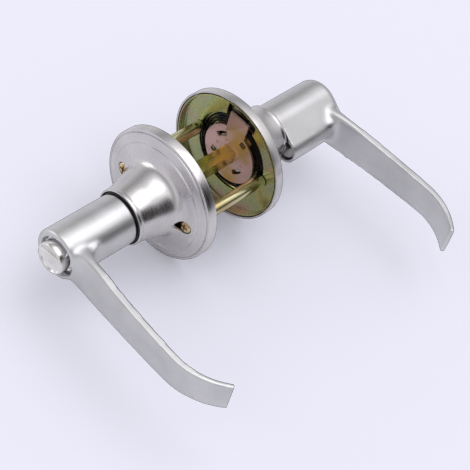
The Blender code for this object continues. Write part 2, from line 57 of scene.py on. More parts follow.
def pick(piece):
    clearSelection()
    piece.select_set(True)
    bpy.context.view_layer.objects.active = piece


def settle(name):  # the active piece gets its name, and its place goes into its mesh
    piece = bpy.context.object
    bpy.ops.object.transform_apply(location=True, rotation=True, scale=True)
    piece.name = name
    piece.data.name = name
    return piece


def cleanUp(piece, distance=0.002 * mm):
    pick(piece)
    bpy.ops.object.mode_set(mode="EDIT")
    bpy.ops.mesh.select_all(action="SELECT")
    bpy.ops.mesh.remove_doubles(threshold=distance)
    bpy.ops.mesh.normals_make_consistent(inside=False)
    bpy.ops.object.mode_set(mode="OBJECT")


def addModifier(piece, kind, **settings):
    pick(piece)
    change = piece.modifiers.new(kind.title(), kind)
    for key, value in settings.items():
        setattr(change, key, value)
    bpy.ops.object.modifier_apply(modifier=change.name)


def cutAway(piece, *cutters):
    for cutter in cutters:
        addModifier(piece, "BOOLEAN", object=cutter, operation="DIFFERENCE", solver="EXACT")
        bpy.data.objects.remove(cutter, do_unlink=True)


def weldOn(piece, *others):
    for other in others:
        addModifier(piece, "BOOLEAN", object=other, operation="UNION", solver="EXACT")
        bpy.data.objects.remove(other, do_unlink=True)


def roundEdges(piece, width, segments=2, angle=35):
    addModifier(piece, "BEVEL", width=width, segments=segments, limit_method="ANGLE",
                angle_limit=radians(angle), use_clamp_overlap=True)


def smoothShade(piece, angle=32):
    pick(piece)
    bpy.ops.object.shade_smooth_by_angle(angle=radians(angle))


def turnRing(name, line, side, segments=96, closed=False, capStart=False, capEnd=False):
    # a ring is drawn out step by step along the spindle, as on a lathe
    radius, depth = line[0]
    bpy.ops.mesh.primitive_circle_add(vertices=segments, radius=radius, location=(0, side * depth, 0),
                                      rotation=(pi / 2, 0, 0),
                                      fill_type="TRIFAN" if capStart else "NOTHING")
    piece = settle(name)
    bpy.ops.object.mode_set(mode="EDIT")
    bpy.ops.mesh.select_all(action="SELECT")
    if capStart:
        bpy.ops.mesh.region_to_loop()
    steps = line[1:] + ([line[0]] if closed else [])
    for nextRadius, nextDepth in steps:
        bpy.ops.mesh.extrude_edges_move(
            TRANSFORM_OT_translate={"value": (0, side * (nextDepth - depth), 0)})
        share = nextRadius / radius
        bpy.ops.transform.resize(value=(share, 1, share), center_override=(0, side * nextDepth, 0))
        radius, depth = nextRadius, nextDepth
    if capEnd:
        bpy.ops.mesh.edge_face_add()
        bpy.ops.mesh.poke()
    bpy.ops.object.mode_set(mode="OBJECT")
    cleanUp(piece)
    return piece


def barBetween(name, low, high, bevel=0.0, segments=2):
    size = [abs(high[i] - low[i]) for i in range(3)]
    middle = [(high[i] + low[i]) / 2 for i in range(3)]
    bpy.ops.mesh.primitive_cube_add(size=1, location=middle, scale=size)
    piece = settle(name)
    if bevel:
        roundEdges(piece, bevel, segments)
    return piece


def roundBar(name, start, end, radius, vertices=40):
    start, end = Vector(start), Vector(end)
    along = end - start
    bpy.ops.mesh.primitive_cylinder_add(vertices=vertices, radius=radius, depth=along.length,
                                        location=(start + end) / 2,
                                        rotation=along.to_track_quat("Z", "Y").to_euler())
    return settle(name)


def newFinish(name, color, roughness, metallic=1.0):
    finish = bpy.data.materials.new(name)
    finish.use_nodes = True
    nodes = finish.node_tree.nodes
    shader = nodes["Principled BSDF"]
    shader.inputs["Base Color"].default_value = (*color, 1)
    shader.inputs["Roughness"].default_value = roughness
    shader.inputs["Metallic"].default_value = metallic
    return finish


def addNode(finish, kind, inputs=None, **settings):
    node = finish.node_tree.nodes.new(kind)
    for key, value in settings.items():
        setattr(node, key, value)
    for key, value in (inputs or {}).items():
        node.inputs[key].default_value = value
    return node


def wireUp(finish, source, target):
    finish.node_tree.links.new(source, target)


brushed = {  # how far the grain is drawn out along its lines
    "stretch": 0.03,
    "ringStretch": 0.0006,
}


def grainVector(finish, pattern, scale):
    # ring: lines round the spindle; along: lines down the blade; length: lines down the spindle;
    # cast: no direction
    place = addNode(finish, "ShaderNodeTexCoord")
    stretch = brushed["stretch"]
    stretches = {"cast": (1, 1, 1), "along": (stretch, 1, 1), "length": (1, stretch, 1)}
    if pattern in stretches:
        scales = [scale * part for part in stretches[pattern]]
        mapping = addNode(finish, "ShaderNodeMapping", {"Scale": scales})
        wireUp(finish, place.outputs["Object"], mapping.inputs["Vector"])
        return mapping.outputs["Vector"]
    split = addNode(finish, "ShaderNodeSeparateXYZ")
    wireUp(finish, place.outputs["Object"], split.inputs[0])
    both = addNode(finish, "ShaderNodeMath", operation="ADD")
    for spot, side in enumerate("XZ"):
        square = addNode(finish, "ShaderNodeMath", operation="MULTIPLY")
        wireUp(finish, split.outputs[side], square.inputs[0])
        wireUp(finish, split.outputs[side], square.inputs[1])
        wireUp(finish, square.outputs[0], both.inputs[spot])
    reach = addNode(finish, "ShaderNodeMath", operation="SQRT")
    wireUp(finish, both.outputs[0], reach.inputs[0])
    around = addNode(finish, "ShaderNodeMath", operation="ARCTAN2")
    wireUp(finish, split.outputs["X"], around.inputs[0])
    wireUp(finish, split.outputs["Z"], around.inputs[1])
    spread = addNode(finish, "ShaderNodeMath", {1: brushed["ringStretch"]}, operation="MULTIPLY")
    wireUp(finish, around.outputs[0], spread.inputs[0])
    join = addNode(finish, "ShaderNodeCombineXYZ")
    wireUp(finish, reach.outputs[0], join.inputs["X"])
    wireUp(finish, split.outputs["Y"], join.inputs["Y"])
    wireUp(finish, spread.outputs[0], join.inputs["Z"])
    mapping = addNode(finish, "ShaderNodeMapping", {"Scale": (scale, scale, scale)})
    wireUp(finish, join.outputs[0], mapping.inputs["Vector"])
    return mapping.outputs["Vector"]


def metalFinish(name, color, roughness, pattern, scale, bump, spread, stain=None, stainScale=70.0):
    finish = newFinish(name, color, roughness)
    shader = finish.node_tree.nodes["Principled BSDF"]
    vector = grainVector(finish, pattern, scale)
    grain = addNode(finish, "ShaderNodeTexNoise", {"Scale": 1.0, "Detail": 3.0, "Roughness": 0.6})
    wireUp(finish, vector, grain.inputs["Vector"])
    place = addNode(finish, "ShaderNodeTexCoord")
    cloud = addNode(finish, "ShaderNodeTexNoise", {"Scale": stainScale, "Detail": 4.0, "Roughness": 0.55})
    wireUp(finish, place.outputs["Object"], cloud.inputs["Vector"])
    glossRange = {"From Min": 0.3, "From Max": 0.7, "To Min": roughness - spread, "To Max": roughness + spread}
    gloss = addNode(finish, "ShaderNodeMapRange", glossRange)
    wireUp(finish, grain.outputs["Fac"], gloss.inputs["Value"])
    cloudGloss = addNode(finish, "ShaderNodeMapRange",
                         {"From Min": 0.35, "From Max": 0.65, "To Min": -0.03, "To Max": 0.03})
    wireUp(finish, cloud.outputs["Fac"], cloudGloss.inputs["Value"])
    total = addNode(finish, "ShaderNodeMath", operation="ADD")
    wireUp(finish, gloss.outputs[0], total.inputs[0])
    wireUp(finish, cloudGloss.outputs[0], total.inputs[1])
    wireUp(finish, total.outputs[0], shader.inputs["Roughness"])
    ramp = addNode(finish, "ShaderNodeValToRGB")
    darker = [part * 0.90 for part in color]
    lighter = [min(1.0, part * 1.07) for part in color]
    stops = stain or [(0.35, darker), (0.65, lighter)]
    ramp.color_ramp.elements[0].position = stops[0][0]
    ramp.color_ramp.elements[0].color = (*stops[0][1], 1)
    ramp.color_ramp.elements[1].position = stops[-1][0]
    ramp.color_ramp.elements[1].color = (*stops[-1][1], 1)
    for position, tint in stops[1:-1]:
        element = ramp.color_ramp.elements.new(position)
        element.color = (*tint, 1)
    wireUp(finish, cloud.outputs["Fac"], ramp.inputs["Fac"])
    wireUp(finish, ramp.outputs["Color"], shader.inputs["Base Color"])
    relief = addNode(finish, "ShaderNodeBump", {"Strength": bump, "Distance": 0.02 * mm})
    wireUp(finish, grain.outputs["Fac"], relief.inputs["Height"])
    wireUp(finish, relief.outputs["Normal"], shader.inputs["Normal"])
    return finish


satinRing = metalFinish("satinNickelTurned", (0.73, 0.705, 0.725), 0.25, "ring", 5200.0, 0.18, 0.08,
                        stainScale=45.0)
satinBlade = metalFinish("satinNickelBlade", (0.70, 0.695, 0.72), 0.36, "along", 3600.0, 0.45, 0.07,
                         stainScale=40.0)
satinHub = metalFinish("satinNickelHub", (0.70, 0.69, 0.715), 0.34, "length", 3600.0, 0.45, 0.07,
                       stainScale=40.0)
polishedNickel = metalFinish("polishedNickel", (0.95, 0.92, 0.92), 0.22, "ring", 4200.0, 0.05, 0.03)
zincYellow = metalFinish("yellowZincPlate", (0.44, 0.41, 0.22), 0.27, "cast", 900.0, 0.06, 0.05,
                         stain=[(0.28, (0.22, 0.19, 0.08)), (0.40, (0.52, 0.48, 0.20)),
                                (0.50, (0.44, 0.50, 0.28)), (0.60, (0.56, 0.40, 0.32)),
                                (0.72, (0.36, 0.28, 0.13))], stainScale=42.0)
zincPink = metalFinish("pinkZincPlate", (0.66, 0.45, 0.42), 0.42, "cast", 900.0, 0.08, 0.05,
                       stain=[(0.32, (0.62, 0.40, 0.14)), (0.45, (0.74, 0.50, 0.46)),
                              (0.56, (0.80, 0.54, 0.55)), (0.70, (0.68, 0.46, 0.18))], stainScale=52.0)
zincGold = metalFinish("goldZincPlate", (0.66, 0.52, 0.16), 0.25, "length", 2200.0, 0.10, 0.05,
                       stain=[(0.32, (0.36, 0.38, 0.14)), (0.46, (0.58, 0.50, 0.14)),
                              (0.58, (0.82, 0.62, 0.16)), (0.72, (0.46, 0.44, 0.18))], stainScale=48.0)
zincPost = metalFinish("paleZincPlate", (0.62, 0.60, 0.40), 0.22, "length", 2200.0, 0.08, 0.05,
                       stain=[(0.30, (0.44, 0.44, 0.22)), (0.50, (0.72, 0.68, 0.42)),
                              (0.70, (0.56, 0.46, 0.24))], stainScale=60.0)
zincScrew = metalFinish("screwZincPlate", (0.66, 0.52, 0.30), 0.24, "cast", 1500.0, 0.08, 0.05,
                        stain=[(0.32, (0.40, 0.26, 0.14)), (0.50, (0.74, 0.58, 0.34)),
                               (0.68, (0.80, 0.72, 0.50))], stainScale=300.0)
brightSteel = metalFinish("brightSteel", (0.58, 0.58, 0.57), 0.30, "ring", 2600.0, 0.10, 0.05)
catchSteel = metalFinish("catchSteel", (0.72, 0.70, 0.69), 0.42, "length", 2600.0, 0.10, 0.05)
springSteel = metalFinish("blackSpringSteel", (0.018, 0.018, 0.020), 0.20, "cast", 2400.0, 0.05, 0.05)
nylon = metalFinish("blackNylon", (0.012, 0.012, 0.013), 0.50, "cast", 2400.0, 0.10, 0.05)
nylon.node_tree.nodes["Principled BSDF"].inputs["Metallic"].default_value = 0.0
print("finishes made")


def useFinish(piece, finish):
    piece.data.materials.clear()
    piece.data.materials.append(finish)


def placePiece(piece, body, node, finish, angle=32):
    smoothShade(piece, angle)
    useFinish(piece, finish)
    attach(piece, body)
    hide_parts(node)


roseBell = {
    "line": [(33.0, 0.25), (33.0, 4.35), (32.86, 4.75), (32.5, 4.98), (31.9, 5.05), (31.7, 4.72),
             (31.45, 4.72), (31.25, 5.3), (30.9, 5.5), (30.0, 5.75), (28.4, 6.2), (27.25, 6.5), (27.1, 6.42),
             (26.9, 6.42), (26.75, 6.72), (26.5, 6.86), (25.2, 7.12), (23.4, 7.45), (21.8, 7.78),
             (20.4, 8.22), (19.3, 8.85), (18.4, 9.75), (17.8, 10.8), (17.35, 12.0), (16.95, 13.4), (16.5, 15.0),
             (16.0, 16.6), (15.45, 18.2), (14.95, 19.8), (14.55, 21.4), (14.22, 23.0), (13.98, 24.6),
             (13.80, 26.0), (13.72, 26.9), (13.82, 27.2), (13.82, 28.3), (13.62, 28.7), (13.2, 28.8)],
    "wall": 0.7 * mm,
    "holeRadius": 3.6 * mm,
}


def makeRose(name, side, withHoles):
    line = [(radius * mm, setSizes["doorHalf"] + height * mm) for radius, height in roseBell["line"]]
    rose = turnRing(name, line, side, 160)
    pick(rose)
    bpy.ops.object.mode_set(mode="EDIT")
    bpy.ops.mesh.select_all(action="SELECT")
    bpy.ops.mesh.normals_make_consistent(inside=False)
    bpy.ops.object.mode_set(mode="OBJECT")
    middle = rose.data.polygons[0]
    outward = Vector((middle.center.x, 0, middle.center.z)).dot(middle.normal)
    addModifier(rose, "SOLIDIFY", thickness=roseBell["wall"], offset=-1 if outward > 0 else 1,
                use_even_offset=True)
    cleanUp(rose)
    if withHoles:
        for x in (-setSizes["postOffset"], setSizes["postOffset"]):
            low = side * (setSizes["doorHalf"] + 2 * mm)
            high = side * (setSizes["doorHalf"] + 19 * mm)
            cutAway(rose, roundBar("screwDrill", (x, low, 0), (x, high, 0), roseBell["holeRadius"], 48))
    return rose


insideRose = makeRose("insideRoseBell", inside, True)
placePiece(insideRose, "roses", "inside_rose", satinRing, 28)
outsideRose = makeRose("outsideRoseBell", outside, False)
placePiece(outsideRose, "roses", "outside_rose", satinRing, 28)
print("roses made")

leverCasting = {
    "hubRadius": 12.2 * mm,
    "hubEnd": 85.8 * mm,
    "outsideHubEnd": 87.2 * mm,
    "noseAt": (12.5 * mm, -1.5 * mm),
    "noseRadius": 7.0 * mm,
    "bladeFace": 87.0 * mm,
    "stations": [(2.0, 1.6, 17.0, 7.6, 2.2), (9.0, 1.6, 18.6, 7.6, 2.4), (15.0, 1.6, 20.2, 7.2, 2.6),
                 (20.0, 1.4, 20.6, 6.6, 2.6), (26.0, 1.1, 20.0, 6.0, 2.4), (33.0, 0.8, 19.0, 5.4, 2.0),
                 (42.0, 0.5, 18.2, 5.0, 1.6), (52.0, 0.25, 17.5, 4.6, 1.3), (62.0, 0.08, 17.0, 4.3, 1.0),
                 (72.0, 0.0, 16.4, 4.0, 0.8)],
    "tip": (15.4, 2.2, 0.25),
    "bendRadius": 36.4 * mm,
    "bendAngle": 48.5,
    "stepAlong": 3.5 * mm,
    "voxel": 0.4 * mm,
    "insideRoot": Vector((14.5 * mm, -77 * mm, 0)),
    "outsideRoot": Vector((19 * mm, 79 * mm, 1 * mm)),
    "rootReach": 15.5 * mm,
    "socketRadius": 10.3 * mm,
    "socketDepth": 20 * mm,
    "buttonBoreRadius": 9.7 * mm,
    "buttonBoreMouth": 10.1 * mm,
    "buttonBoreFloor": 81 * mm,
    "buttonBoreOffset": 0.7 * mm,
    "stemBoreRadius": 3.4 * mm,
    "grubAt": 9 * mm,
    "grubRadius": 2.1 * mm,
    "endRoll": 3.6 * mm,
    "pocketHalf": 5.6 * mm,
    "pocketDepth": 13 * mm,
    "releaseRadius": 1.3 * mm,
}


def bladeAt(x):  # how far back, how high, how thick and how crowned the blade is at x
    stations = leverCasting["stations"]
    x = min(max(x / mm, stations[0][0]), stations[-1][0])
    for low, high in zip(stations, stations[1:]):
        if x <= high[0]:
            share = (x - low[0]) / (high[0] - low[0])
            return [(a + (b - a) * share) * mm for a, b in zip(low[1:], high[1:])]


def makeBlade(name, side, drop):
    cast = leverCasting
    face = cast["bladeFace"]
    startX = cast["stations"][0][0] * mm
    straight = cast["stations"][-1][0] * mm
    start = (startX, side * (face - 0.5 * mm), 0)
    bpy.ops.mesh.primitive_plane_add(size=1, location=start, rotation=(0, pi / 2, 0))
    blade = settle(name)  # a thin strip, 1 mm thick, that is thickened after it is curled
    bpy.ops.object.mode_set(mode="EDIT")
    bpy.ops.mesh.select_all(action="SELECT")
    bpy.ops.transform.resize(value=(1, 1 * mm, 2 * mm), center_override=start)
    bpy.ops.mesh.subdivide(number_cuts=11)
    x = startX
    while x < straight - 0.1 * mm:
        step = min(cast["stepAlong"], straight - x)
        bpy.ops.mesh.extrude_region_move(TRANSFORM_OT_translate={"value": (step, 0, 0)})
        x += step
    bend = face - cast["bendRadius"]
    bpy.ops.mesh.spin(steps=16, angle=radians(cast["bendAngle"]), center=(straight, side * bend, 0),
                      axis=(0, 0, side))
    bpy.ops.object.mode_set(mode="OBJECT")
    tipHeight, tipThick, tipCrown = (size * mm for size in cast["tip"])
    for vert in blade.data.vertices:
        past = max(0.0, vert.co.x - straight)
        above = side * vert.co.y - bend
        back, height, thick, crown = bladeAt(vert.co.x)
        turn = atan2(past, above) if past > 0.01 * mm else 0.0
        reach = hypot(past, above) if turn else above
        share = turn / radians(cast["bendAngle"])
        height += (tipHeight - height) * share
        thick += (tipThick - thick) * share
        crown += (tipCrown - crown) * share
        across = vert.co.z / (1 * mm)  # from -1 to 1 over the height
        deep = (cast["bendRadius"] - reach) / (1 * mm)  # 0 on the outer face and 1 on the inner one
        sink = back + thick * deep + crown * abs(across) ** 3 * (1 - deep)
        reach = cast["bendRadius"] - sink
        vert.co.y = side * (bend + reach * cos(turn))
        if turn:
            vert.co.x = straight + reach * sin(turn)
        vert.co.z = across * height / 2 + drop
    cleanUp(blade)
    return blade


def makeFillet(name, side, root, radius, height, drop):
    back, _, thick, _ = bladeAt(root + radius)
    face = leverCasting["bladeFace"] - back - thick
    low = (root - 4 * mm, side * (face - radius), -height / 2)
    high = (root + radius, side * (face + 1.5 * mm), height / 2)
    fillet = barBetween(name, low, high)
    cornerX, cornerY = root + radius, side * (face - radius)
    past = 30 * mm
    cutAway(fillet, roundBar("filletDrill", (cornerX, cornerY, -past), (cornerX, cornerY, past), radius, 64))
    for vert in fillet.data.vertices:  # it narrows as the blade does
        vert.co.z = vert.co.z * bladeAt(vert.co.x)[1] / bladeAt(root)[1] + drop
    return fillet


def castTogether(name, parts):
    clearSelection()
    for part in parts:
        part.select_set(True)
    bpy.context.view_layer.objects.active = parts[0]
    bpy.ops.object.join()
    casting = bpy.context.object
    casting.name = name
    casting.data.name = name
    addModifier(casting, "REMESH", mode="VOXEL", voxel_size=leverCasting["voxel"])
    addModifier(casting, "SMOOTH", factor=0.5, iterations=6)
    return casting


def blendRoot(casting, center):  # the corner where hub and blade meet is rubbed smooth
    group = casting.vertex_groups.new(name="root")
    for vert in casting.data.vertices:
        away = (vert.co - center).length / leverCasting["rootReach"]
        if away < 1:
            group.add([vert.index], min(1.0, 2 * (1 - away)), "REPLACE")
    addModifier(casting, "SMOOTH", factor=0.5, iterations=220, vertex_group="root")
    casting.vertex_groups.clear()


def sleeveSocket(side):
    start, radius = setSizes["hubStart"], leverCasting["socketRadius"]
    line = [(radius, start - 2 * mm), (radius, start + leverCasting["socketDepth"])]
    return turnRing("sleeveBore", line, side, 96, capStart=True, capEnd=True)


def makeInsideLever():
    cast = leverCasting
    radius, end = cast["hubRadius"], cast["hubEnd"]
    start = setSizes["hubStart"]
    line = [(radius - 0.5 * mm, start), (radius, start + 0.5 * mm), (radius, end - 1.3 * mm),
            (radius - 0.35 * mm, end - 0.4 * mm), (radius - 1.2 * mm, end)]
    hub = turnRing("insideHub", line, inside, 128, capStart=True, capEnd=True)
    blade = makeBlade("insideBlade", inside, 0.0)
    root = radius - 0.8 * mm
    fillet = makeFillet("insideFillet", inside, root, radius=8 * mm, height=17 * mm, drop=0.0)
    lever = castTogether("insideLeverCasting", [hub, blade, fillet])
    blendRoot(lever, cast["insideRoot"])
    wide, mouth = cast["buttonBoreRadius"], cast["buttonBoreMouth"]
    boreLine = [(wide, cast["buttonBoreFloor"]), (wide, end - 0.6 * mm), (mouth, end - 0.1 * mm),
                (mouth, end + 3 * mm)]
    bore = turnRing("buttonBore", boreLine, inside, 96, capStart=True, capEnd=True)
    bore.data.transform(Matrix.Translation((cast["buttonBoreOffset"], 0, 0)))
    socket = sleeveSocket(inside)
    stem = roundBar("stemBore", (0, -60 * mm, 0), (0, -85 * mm, 0), cast["stemBoreRadius"])
    y = -(start + cast["grubAt"])
    grub = roundBar("grubBore", (0, y, -20 * mm), (0, y, -8 * mm), cast["grubRadius"], 32)
    cutAway(lever, bore, socket, stem, grub)
    return lever


def makeOutsideLever():
    cast = leverCasting
    radius, end = cast["hubRadius"], cast["outsideHubEnd"]
    start = setSizes["hubStart"]
    noseX, noseZ = cast["noseAt"]
    bpy.ops.mesh.primitive_circle_add(vertices=160, radius=radius, location=(0, start, 0),
                                      rotation=(pi / 2, 0, 0), fill_type="NGON")
    hub = settle("outsideHub")
    tilt = atan2(noseZ, noseX)
    spread = acos((radius - cast["noseRadius"]) / hypot(noseX, noseZ))
    for vert in hub.data.vertices:  # the round is drawn out to a nose on the lever's side
        angle = atan2(vert.co.z, vert.co.x) - tilt
        angle = (angle + pi) % (2 * pi) - pi
        if abs(angle) < spread:
            vert.co.x = noseX + cast["noseRadius"] * cos(angle + tilt)
            vert.co.z = noseZ + cast["noseRadius"] * sin(angle + tilt)
    bpy.ops.object.mode_set(mode="EDIT")
    bpy.ops.mesh.select_all(action="SELECT")
    roll = cast["endRoll"]
    steps = 6
    bpy.ops.mesh.extrude_region_move(TRANSFORM_OT_translate={"value": (0, end - roll - start, 0)})
    for part in range(1, steps + 1):  # the end face rolls over
        turn = part / steps * pi / 2
        before = (part - 1) / steps * pi / 2
        rise = roll * (sin(turn) - sin(before))
        bpy.ops.mesh.extrude_region_move(TRANSFORM_OT_translate={"value": (0, rise, 0)})
        nowIn = roll * (1 - cos(turn))
        thenIn = roll * (1 - cos(before))
        share = (radius + 2 * mm - nowIn) / (radius + 2 * mm - thenIn)
        bpy.ops.transform.resize(value=(share, 1, share), center_override=(noseX * 0.4, end, noseZ * 0.4))
    bpy.ops.mesh.select_all(action="SELECT")
    bpy.ops.mesh.fill_holes(sides=0)
    bpy.ops.mesh.normals_make_consistent(inside=False)
    bpy.ops.object.mode_set(mode="OBJECT")
    blade = makeBlade("outsideBlade", outside, noseZ)
    root = 17.8 * mm
    fillet = makeFillet("outsideFillet", outside, root, radius=4 * mm, height=15 * mm, drop=noseZ)
    lever = castTogether("outsideLeverCasting", [hub, blade, fillet])
    blendRoot(lever, cast["outsideRoot"])
    half, low, high = cast["pocketHalf"], start - 2 * mm, start + cast["pocketDepth"]
    pocket = roundBar("pocketMill", (noseX, low, noseZ), (noseX, high, noseZ), half + 0.1 * mm, 64)
    throat = barBetween("throatMill", (6 * mm, low, noseZ - half), (noseX, high, noseZ + half))
    release = roundBar("releaseDrill", (0, start + 10 * mm, 0), (0, end + 4 * mm, 0),
                       cast["releaseRadius"], 24)
    cutAway(lever, sleeveSocket(outside), pocket, throat, release)
    return lever


def paintLever(lever, side):  # the blade is brushed along its length and the hub along the spindle
    lever.data.materials.clear()
    lever.data.materials.append(satinBlade)
    lever.data.materials.append(satinHub)
    edge = leverCasting["bladeFace"] - 9 * mm
    hubReach = 20 * mm
    for face in lever.data.polygons:
        onHub = face.center.x < hubReach and side * face.center.y < edge
        face.material_index = 1 if onHub else 0


insideLever = makeInsideLever()
placePiece(insideLever, "inside_handle", "inside_lever", satinBlade, 40)
paintLever(insideLever, inside)
outsideLever = makeOutsideLever()
placePiece(outsideLever, "outside_handle", "outside_lever", satinBlade, 40)
paintLever(outsideLever, outside)
print("levers made")

leverCatch = {
    "line": [(4.3, 49.9), (4.8, 50.3), (4.9, 51.2), (4.9, 60.6)],
    "place": (12.7 * mm, 0, -1.9 * mm),
    "notchTurn": 35,
    "notchPivot": Vector((12 * mm, 0, 0)),
    "edge": 0.35 * mm,
}


def makeCatch():
    line = [(radius * mm, depth * mm) for radius, depth in leverCatch["line"]]
    catch = turnRing("outsideCatchTongue", line, outside, 64, capStart=True, capEnd=True)
    catch.data.transform(Matrix.Translation(leverCatch["place"]))
    notch = barBetween("catchNotch", (5 * mm, 49 * mm, 0.2 * mm), (14 * mm, 54 * mm, 6 * mm))
    pivot = leverCatch["notchPivot"]
    turn = Matrix.Rotation(radians(leverCatch["notchTurn"]), 4, "Y")
    notch.data.transform(Matrix.Translation(pivot) @ turn @ Matrix.Translation(-pivot))
    slit = barBetween("catchSlit", (2 * mm, 49 * mm, -7 * mm), (10.2 * mm, 62 * mm, 7 * mm))
    cutAway(catch, notch, slit)
    roundEdges(catch, leverCatch["edge"], 3, 40)
    return catch


placePiece(makeCatch(), "outside_handle", "outside_lever_catch", catchSteel)

turnButton = {
    "radius": 7.7 * mm,
    "front": 89.2 * mm,
    "face": [(0.0, 7.5), (0.0, 0.9), (0.08, 0.45), (0.3, 0.12), (0.65, 0.0), (0.95, 0.10), (1.1, 0.35),
             (1.35, 0.85), (2.3, 1.25), (4.2, 1.45)],
    "barHalfWidth": 2.3 * mm,
    "barFoot": 2.4,
    "barTilt": -9,
    "skirt": [(8.9, 80.9), (8.9, 83.2), (8.6, 83.5)],
    "stemRadius": 3 * mm,
}


def makeButton():
    radius, front = turnButton["radius"], turnButton["front"]
    line = [(radius - inward * mm, front - sunk * mm) for inward, sunk in turnButton["face"]]
    button = turnRing("turnButtonKnob", line, inside, 128, capStart=True, capEnd=True)
    reach = radius - 0.95 * mm
    wide = turnButton["barHalfWidth"]
    bar = barBetween("buttonBar", (-reach, -(front - 0.05 * mm), -wide), (reach, -(front - 5 * mm), wide))
    for vert in bar.data.vertices:  # the bar stands on a wider foot
        if vert.co.y > -(front - 1 * mm):
            vert.co.z *= turnButton["barFoot"]
    roundEdges(bar, 0.6 * mm, 4, 30)
    bar.data.transform(Matrix.Rotation(radians(turnButton["barTilt"]), 4, "Y"))
    skirtLine = [(radius * mm, depth * mm) for radius, depth in turnButton["skirt"]]
    skirt = turnRing("buttonSkirt", skirtLine, inside, 96, capStart=True, capEnd=True)
    stem = roundBar("buttonStem", (0, -83 * mm, 0), (0, -66.3 * mm, 0), turnButton["stemRadius"])
    weldOn(button, bar, skirt, stem)
    return button


placePiece(makeButton(), "privacy_turn", "turn_button", polishedNickel, 30)
print("turn button made")

coverPlate = {
    "rim": [(31.7, 0.45), (31.62, 0.3), (31.2, 0.3), (31.12, 0.45), (31.12, 3.5), (30.95, 3.9), (30.5, 4.1)],
    "housingFront": [(0.5, 4.1), (0.15, 4.25), (0.0, 4.6), (0.0, 5.4), (-0.3, 5.7)],
    "housingBack": [(0.2, 6.3), (0.6, 5.9), (0.6, 4.9), (0.8, 4.7)],
    "bore": [(10.4, 5.7), (10.4, 6.3)],
    "back": [(31.0, 4.7), (31.5, 4.3), (31.7, 3.8)],
    "insideHousing": 16.6,
    "outsideHousing": 20.9,
    "screwHole": 2.2 * mm,
    "windowHalf": 9.0 * mm,
    "windowTop": 29.5 * mm,
}


def makePlate(name, side, housing, holeRadius):
    base = setSizes["doorHalf"]
    outline = list(coverPlate["rim"])
    outline += [(housing + wider, height) for wider, height in coverPlate["housingFront"]]
    outline += coverPlate["bore"]
    outline += [(housing + wider, height) for wider, height in coverPlate["housingBack"]]
    outline += coverPlate["back"]
    line = [(radius * mm, base + height * mm) for radius, height in outline]
    plate = turnRing(name, line, side, 128, closed=True)
    low = (-coverPlate["windowHalf"], side * (base + 3 * mm), (housing - 1.5) * mm)
    high = (coverPlate["windowHalf"], side * (base + 9 * mm), coverPlate["windowTop"])
    cutAway(plate, barBetween("windowPunch", low, high))
    if holeRadius:
        under, over = side * (base + 2 * mm), side * (base + 12 * mm)
        for x in (-setSizes["postOffset"], setSizes["postOffset"]):
            cutAway(plate, roundBar("plateDrill", (x, under, 0), (x, over, 0), holeRadius, 32))
    return plate


insidePlate = makePlate("insideCoverPlate", inside, coverPlate["insideHousing"], coverPlate["screwHole"])
placePiece(insidePlate, "roses", "inside_plate", zincYellow)
outsidePlate = makePlate("outsideCoverPlate", outside, coverPlate["outsideHousing"], 0)
placePiece(outsidePlate, "roses", "outside_plate", zincYellow)
print("plates made")

rotorDisc = {
    "radius": 15.6 * mm,
    "front": 2.7 * mm,
    "back": 3.8 * mm,
    "lugHalf": 5.8 * mm,
    "lugReach": 23.8 * mm,
    "broachHalf": 3.6 * mm,
    "slotWidth": 2.6 * mm,
    "slots": [(131, 18, 10.7), (-41, 18, 9.5)],
    "squares": [(6.0, 11.0, 1.6, 20), (-9.0, -4.5, 1.6, 10)],
    "stakes": [(-8.6, 0.9, 0.75), (8.4, -1.2, 0.75), (-3.9, 6.2, 0.55)],
    "stakeHeight": 0.35 * mm,
    "edge": 0.16 * mm,
}


def curvedPunch(centerAngle, halfAngle, reach, low, high):
    # a square punch is swept round the spindle for a banana slot
    first = radians(centerAngle - halfAngle)
    middleY = (low + high) / 2
    bpy.ops.mesh.primitive_plane_add(size=1, location=(reach, middleY, 0))
    punch = settle("slotPunch")
    bpy.ops.object.mode_set(mode="EDIT")
    bpy.ops.mesh.select_all(action="SELECT")
    bpy.ops.transform.resize(value=(rotorDisc["slotWidth"], high - low, 1),
                             center_override=(reach, middleY, 0))
    bpy.ops.mesh.spin(steps=12, angle=radians(2 * halfAngle), center=(0, middleY, 0), axis=(0, -1, 0))
    bpy.ops.mesh.select_all(action="SELECT")
    bpy.ops.mesh.fill_holes(sides=0)
    bpy.ops.mesh.normals_make_consistent(inside=False)
    bpy.ops.object.mode_set(mode="OBJECT")
    sign = 1 if sum(v.co.z for v in punch.data.vertices) > 0 else -1
    punch.data.transform(Matrix.Rotation(-(first if sign > 0 else first + radians(2 * halfAngle)), 4, "Y"))
    return punch


